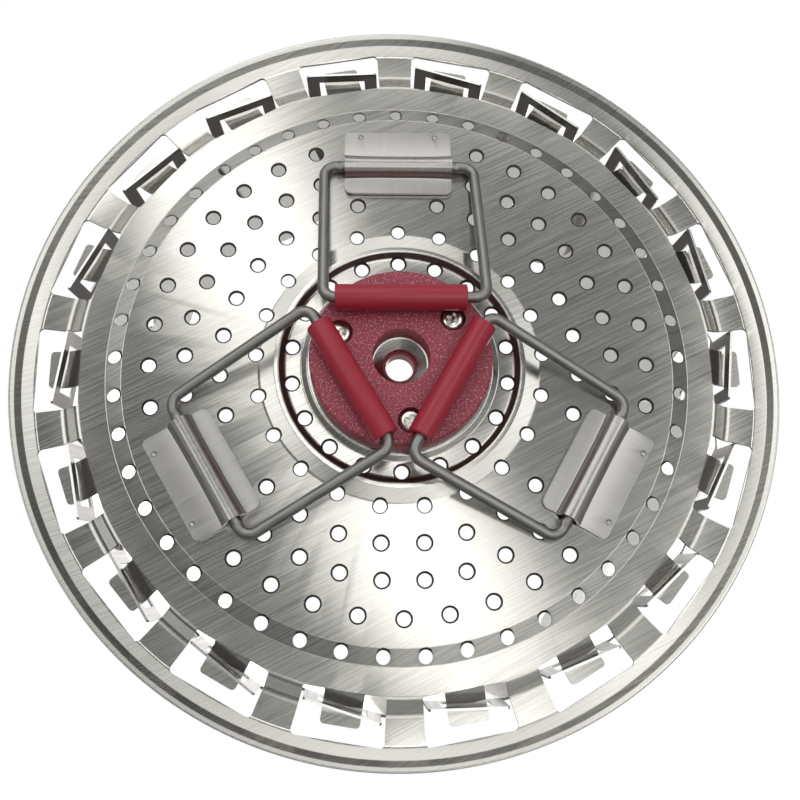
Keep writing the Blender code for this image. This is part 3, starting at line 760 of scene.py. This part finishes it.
def clip_outline(flare):
    """Closed section of the clip's sheet as (outwards, above the wire's centre)."""
    sheet, bend = WIRE_R - CLIP_T / 2, WIRE_R + GAP + CLIP_T / 2 + flare
    turns = [math.pi * k / CLIP_HUMP_STEPS for k in range(CLIP_HUMP_STEPS + 1)]
    line = [(CLIP_FLANGE, sheet), (bend + CLIP_BEND * 2, sheet), (bend + CLIP_BEND, sheet - CLIP_DIP)]
    line += [(bend * math.cos(a), -bend * math.sin(a)) for a in turns]
    line += [(-bend - CLIP_BEND, sheet - CLIP_DIP), (-bend - CLIP_BEND * 2, sheet), (-CLIP_TAIL, sheet)]
    return offset_line(line, CLIP_T / 2) + offset_line(line, -CLIP_T / 2)[::-1]


def make_clip(number, azimuth):
    """A pressed clip over the hinge wire, its hump wider at both ends, with weld marks in its flange."""
    place = in_metres(polar(azimuth, LEG_R, LEG_Z) @ Matrix.Rotation(-CLIP_SLOPE, 4, "Y"))
    bm = bmesh.new()
    rings = []
    for share in CLIP_STATIONS:
        flare = CLIP_FLARE * abs(share) ** CLIP_FLARE_POWER
        y = CLIP_OFFSET + share * CLIP_HALF
        rings.append([bm.verts.new((x, y, z)) for x, z in clip_outline(flare)])
    loft(bm, rings)
    bm.faces.new(rings[0])
    bm.faces.new(rings[-1][::-1])
    clip = dressed(f"look_leg_clip_{number}", bm, CLIP, place, SHARP_CUT)
    bm = bmesh.new()
    for x_end, radius in CLIP_CORNERS:
        for side in (-1, 1):
            waste = corner_cut(x_end, CLIP_OFFSET + side * CLIP_HALF, radius, side)
            prism(bm, waste, -OVERRUN * 2, OVERRUN * 2)
    cut(clip, dressed("clip_cutter", bm, matrix=place), SHARP_CUT)
    bm = bmesh.new()
    for y in WELD_PLACES:
        spot = Matrix.Translation((CLIP_FLANGE - WELD_INSET, y, WIRE_R - CLIP_T - WELD_R + WELD_DEPTH))
        around, upright = WELD_SEGMENTS
        bmesh.ops.create_uvsphere(bm, u_segments=around, v_segments=upright, radius=WELD_R, matrix=spot)
    cut(clip, dressed("weld_cutter", bm, matrix=place), SHARP_CUT)
    stand_in(clip, "basket", f"leg_clip_{number}")


def corner_cut(x_end, y_end, radius, side):
    """Plan of the waste outside one rounded corner."""
    sign = math.copysign(1, x_end)
    centre = Vector((x_end - sign * radius, y_end - side * radius))
    turns = [math.pi / 2 * k / CLIP_CORNER_STEPS for k in range(CLIP_CORNER_STEPS + 1)]
    arc = [(centre.x + sign * radius * math.sin(a), centre.y + side * radius * math.cos(a)) for a in turns]
    out_x, out_y = x_end + sign * OVERRUN, y_end + side * OVERRUN
    return arc + [(out_x, centre.y), (out_x, out_y), (centre.x, out_y)]


def make_boss():
    """The boss under the dish, with a counterbored hole for each screw."""
    top = FACE_Z + BOSS_T
    outline = [(BOSS_BORE, FACE_Z), (BOSS_R, FACE_Z), (BOSS_R, top), (BOSS_BORE, top)]
    bm = bmesh.new()
    turned(bm, rounded(outline, BOSS_EDGES), TURNED_SEGMENTS)
    boss = dressed("look_underside_boss", bm, BOSS)
    bm = bmesh.new()
    seat = FACE_Z + COUNTERBORE
    for place in screw_places():
        stepped = [(0, FACE_Z - OVERRUN), (HEAD_R + GAP, FACE_Z - OVERRUN), (HEAD_R + GAP, seat)]
        stepped += [(SCREW_R + GAP, seat), (SCREW_R + GAP, top + OVERRUN), (0, top + OVERRUN)]
        turned(bm, stepped, COUNTERBORE_SEGMENTS, place)
    cut(boss, dressed("boss_cutter", bm))
    stand_in(boss, "basket", "underside_boss")


def make_hub():
    """The hub on the dish's upper side, hollow round its bore, with a blind hole for each screw."""
    top = HUB_Z + HUB_T
    hollow = HUB_Z + HUB_HOLLOW
    outline = [(HUB_BORE, hollow), (HUB_HOLLOW_R, hollow), (HUB_HOLLOW_R, HUB_Z)]
    outline += [(HUB_R, HUB_Z), (HUB_R, top), (HUB_BORE, top)]
    bm = bmesh.new()
    turned(bm, rounded(outline, HUB_EDGES, HUB_EDGE_STEPS), TURNED_SEGMENTS)
    hub = dressed("look_top_hub", bm, HUB)
    bm = bmesh.new()
    for place in screw_places():
        prism(bm, circle(SCREW_R + GAP, HOLE_SIDES, place), HUB_Z - OVERRUN, HUB_Z + SCREW_GRIP + GAP)
    cut(hub, dressed("hub_cutter", bm))
    stand_in(hub, "basket", "top_hub")


def make_screw(number, place):
    """A pan-head screw, pointing up, with its head in the boss's counterbore."""
    seat = FACE_Z + COUNTERBORE - GAP
    crown = seat - HEAD_T
    tip = HUB_Z + SCREW_GRIP
    outline = [(0, crown)] + [(HEAD_R * out, crown + HEAD_T * down) for out, down in HEAD_CURVE]
    outline += [(HEAD_R, seat), (SCREW_R, seat), (SCREW_R, tip - SCREW_R / 2), (SCREW_R / 2, tip), (0, tip)]
    bm = bmesh.new()
    turned(bm, outline, SCREW_SEGMENTS, place)
    screw = dressed(f"look_screw_{number}", bm, SCREW)
    bm = bmesh.new()
    cross = []
    for turn in range(4):
        spin = Matrix.Rotation(math.pi / 2 * turn + CROSS_TURN, 2)
        corners = [(CROSS_REACH, -CROSS_HALF), (CROSS_REACH, CROSS_HALF), (CROSS_HALF, CROSS_HALF)]
        cross += [tuple(spin @ Vector(corner)) for corner in corners]
    prism(bm, cross, crown - OVERRUN, crown + CROSS_DEPTH, Matrix.Translation((*place, 0)))
    cut(screw, dressed("cross_cutter", bm))
    stand_in(screw, "basket", f"boss_screw_{number}")


def finish_cad_nodes():
    """The CAD nodes get the same finishes as the pieces that stand for them."""
    by_start = {"base": DISH, "petal": PETAL, "leg_clip": CLIP, "leg_wire": WIRE}
    by_start |= {"foot": SLEEVE, "under": BOSS, "top": HUB, "boss": SCREW}
    for name, obj in nodes.items():
        mat = next(mat for start, mat in by_start.items() if name.startswith(start))
        obj.data.materials.clear()
        obj.data.materials.append(mat)


def make_floor():
    """A pale floor that shows from above only, because the photograph looks up from under it."""
    bpy.ops.mesh.primitive_plane_add(size=FLOOR_SIZE, location=(0, 0, 0))
    floor = bpy.context.object
    floor.name = "floor"
    mat, bsdf = shader("floor_paper", FLOOR_COLOUR, FLOOR_ROUGHNESS)
    bsdf.inputs["Specular IOR Level"].default_value = 0.0
    tree = mat.node_tree
    camera_ray = add_node(tree, "ShaderNodeLightPath").outputs["Is Camera Ray"]
    from_below = add_node(tree, "ShaderNodeNewGeometry").outputs["Backfacing"]
    clear = add_node(tree, "ShaderNodeBsdfTransparent").outputs["BSDF"]
    seen = combined(tree, "GREATER_THAN", camera_ray, from_below)
    mixed(tree, seen, clear, bsdf.outputs["BSDF"], tree.nodes["Material Output"])
    floor.data.materials.append(mat)


def make_world():
    """The room that the steel mirrors, brighter above than below. The camera sees plain white instead."""
    world = bpy.data.worlds.new("studio")
    bpy.context.scene.world = world
    world.use_nodes = True
    tree = world.node_tree
    tree.nodes.clear()
    coords = add_node(tree, "ShaderNodeTexCoord").outputs["Generated"]
    away = angle_from(tree, coords, PATCH_CENTRE)
    level = None
    for start, end, change in RINGS:
        step = remap(tree, away, math.radians(start), math.radians(end), 0.0, change, "SMOOTHSTEP")
        level = step if level is None else combined(tree, "ADD", level, step)
    for centre, edges, change in SPOTS:
        level = combined(tree, "ADD", level, round_patch(tree, coords, centre, edges, change, 0.0))
    split = add_node(tree, "ShaderNodeSeparateXYZ")
    tree.links.new(coords, split.inputs["Vector"])
    brightest = PATCH_LEVEL + HORIZON_RISE
    above = remap(tree, split.outputs["Z"], *HORIZON, PATCH_LEVEL, brightest, "SMOOTHSTEP")
    strength = combined(tree, "ADD", level, above)
    for centre, edges, shade in FIGURES:
        figure = round_patch(tree, coords, centre, edges, shade, 1.0)
        strength = combined(tree, "MULTIPLY", strength, figure)
    light = add_node(tree, "ShaderNodeBackground")
    tree.links.new(strength, light.inputs["Strength"])
    white = add_node(tree, "ShaderNodeBackground", {"Color": (1, 1, 1, 1), "Strength": 1.0})
    camera_ray = add_node(tree, "ShaderNodeLightPath").outputs["Is Camera Ray"]
    out = add_node(tree, "ShaderNodeOutputWorld")
    mixed(tree, camera_ray, light.outputs["Background"], white.outputs["Background"], out)


def round_patch(tree, direction, centre, edges, inside, outside):
    """A soft-edged disc of the sky round one direction; the edges are in degrees from it."""
    inner, outer = (math.radians(edge) for edge in edges)
    return remap(tree, angle_from(tree, direction, centre), inner, outer, inside, outside, "SMOOTHSTEP")


def angle_from(tree, direction, centre):
    """The angle in radians between a direction and a fixed one."""
    facing = add_node(tree, "ShaderNodeVectorMath", {1: centre.normalized()}, operation="DOT_PRODUCT")
    angle = add_node(tree, "ShaderNodeMath", operation="ARCCOSINE")
    tree.links.new(direction, facing.inputs[0])
    tree.links.new(facing.outputs["Value"], angle.inputs[0])
    return angle.outputs["Value"]


def combined(tree, operation, first, second):
    result = add_node(tree, "ShaderNodeMath", operation=operation)
    tree.links.new(first, result.inputs[0])
    tree.links.new(second, result.inputs[1])
    return result.outputs["Value"]


def mixed(tree, share, first, second, output):
    """Leads a mix of two shaders to an output: the second one where the share is 1."""
    mix = add_node(tree, "ShaderNodeMixShader")
    for socket, source in zip(mix.inputs, (share, first, second)):
        tree.links.new(source, socket)
    tree.links.new(mix.outputs["Shader"], output.inputs["Surface"])


def make_lamp():
    """A soft square lamp over the basket."""
    lamp = bpy.data.lights.new("top_soft", "AREA")
    lamp.size = LAMP_SIZE
    lamp.energy = LAMP_POWER
    obj = bpy.data.objects.new("top_soft", lamp)
    bpy.context.scene.collection.objects.link(obj)
    obj.location = LAMP_PLACE
    obj.rotation_mode = "QUATERNION"
    obj.rotation_quaternion = (-LAMP_PLACE).to_track_quat("-Z", "Y")


def make_camera():
    """The photograph's camera, under the basket. Its place has X right, Y up and Z towards the viewer."""
    turn = Matrix.Rotation(CAMERA_PITCH, 3, "X") @ Matrix.Rotation(CAMERA_YAW, 3, "Y")
    turn = turn @ Matrix.Rotation(CAMERA_ROLL, 3, "Z")
    flip = Matrix.Diagonal((1, -1, -1))
    data = bpy.data.cameras.new("photo_camera")
    data.sensor_width = SENSOR
    data.lens = CAMERA_FOCUS * SENSOR
    data.clip_start, data.clip_end = NEAREST, FARTHEST
    cam = bpy.data.objects.new("photo_camera", data)
    bpy.context.scene.collection.objects.link(cam)
    turn = flip @ turn.transposed()
    world = turn.to_4x4()
    world.translation = (turn @ CAMERA_PLACE + Vector((0, 0, SEAT_Z + CAMERA_LEVEL))) * MM
    cam.matrix_world = world
    bpy.context.scene.camera = cam


make_camera()
make_dish()
make_petals()
for number, azimuth in LEGS.items():
    make_leg(number, azimuth)
    make_clip(number, azimuth)
make_boss()
make_hub()
for number, place in enumerate(screw_places(), 1):
    make_screw(number, place)
finish_cad_nodes()
make_floor()
make_world()
make_lamp()
bpy.context.scene.view_settings.view_transform = "Standard"
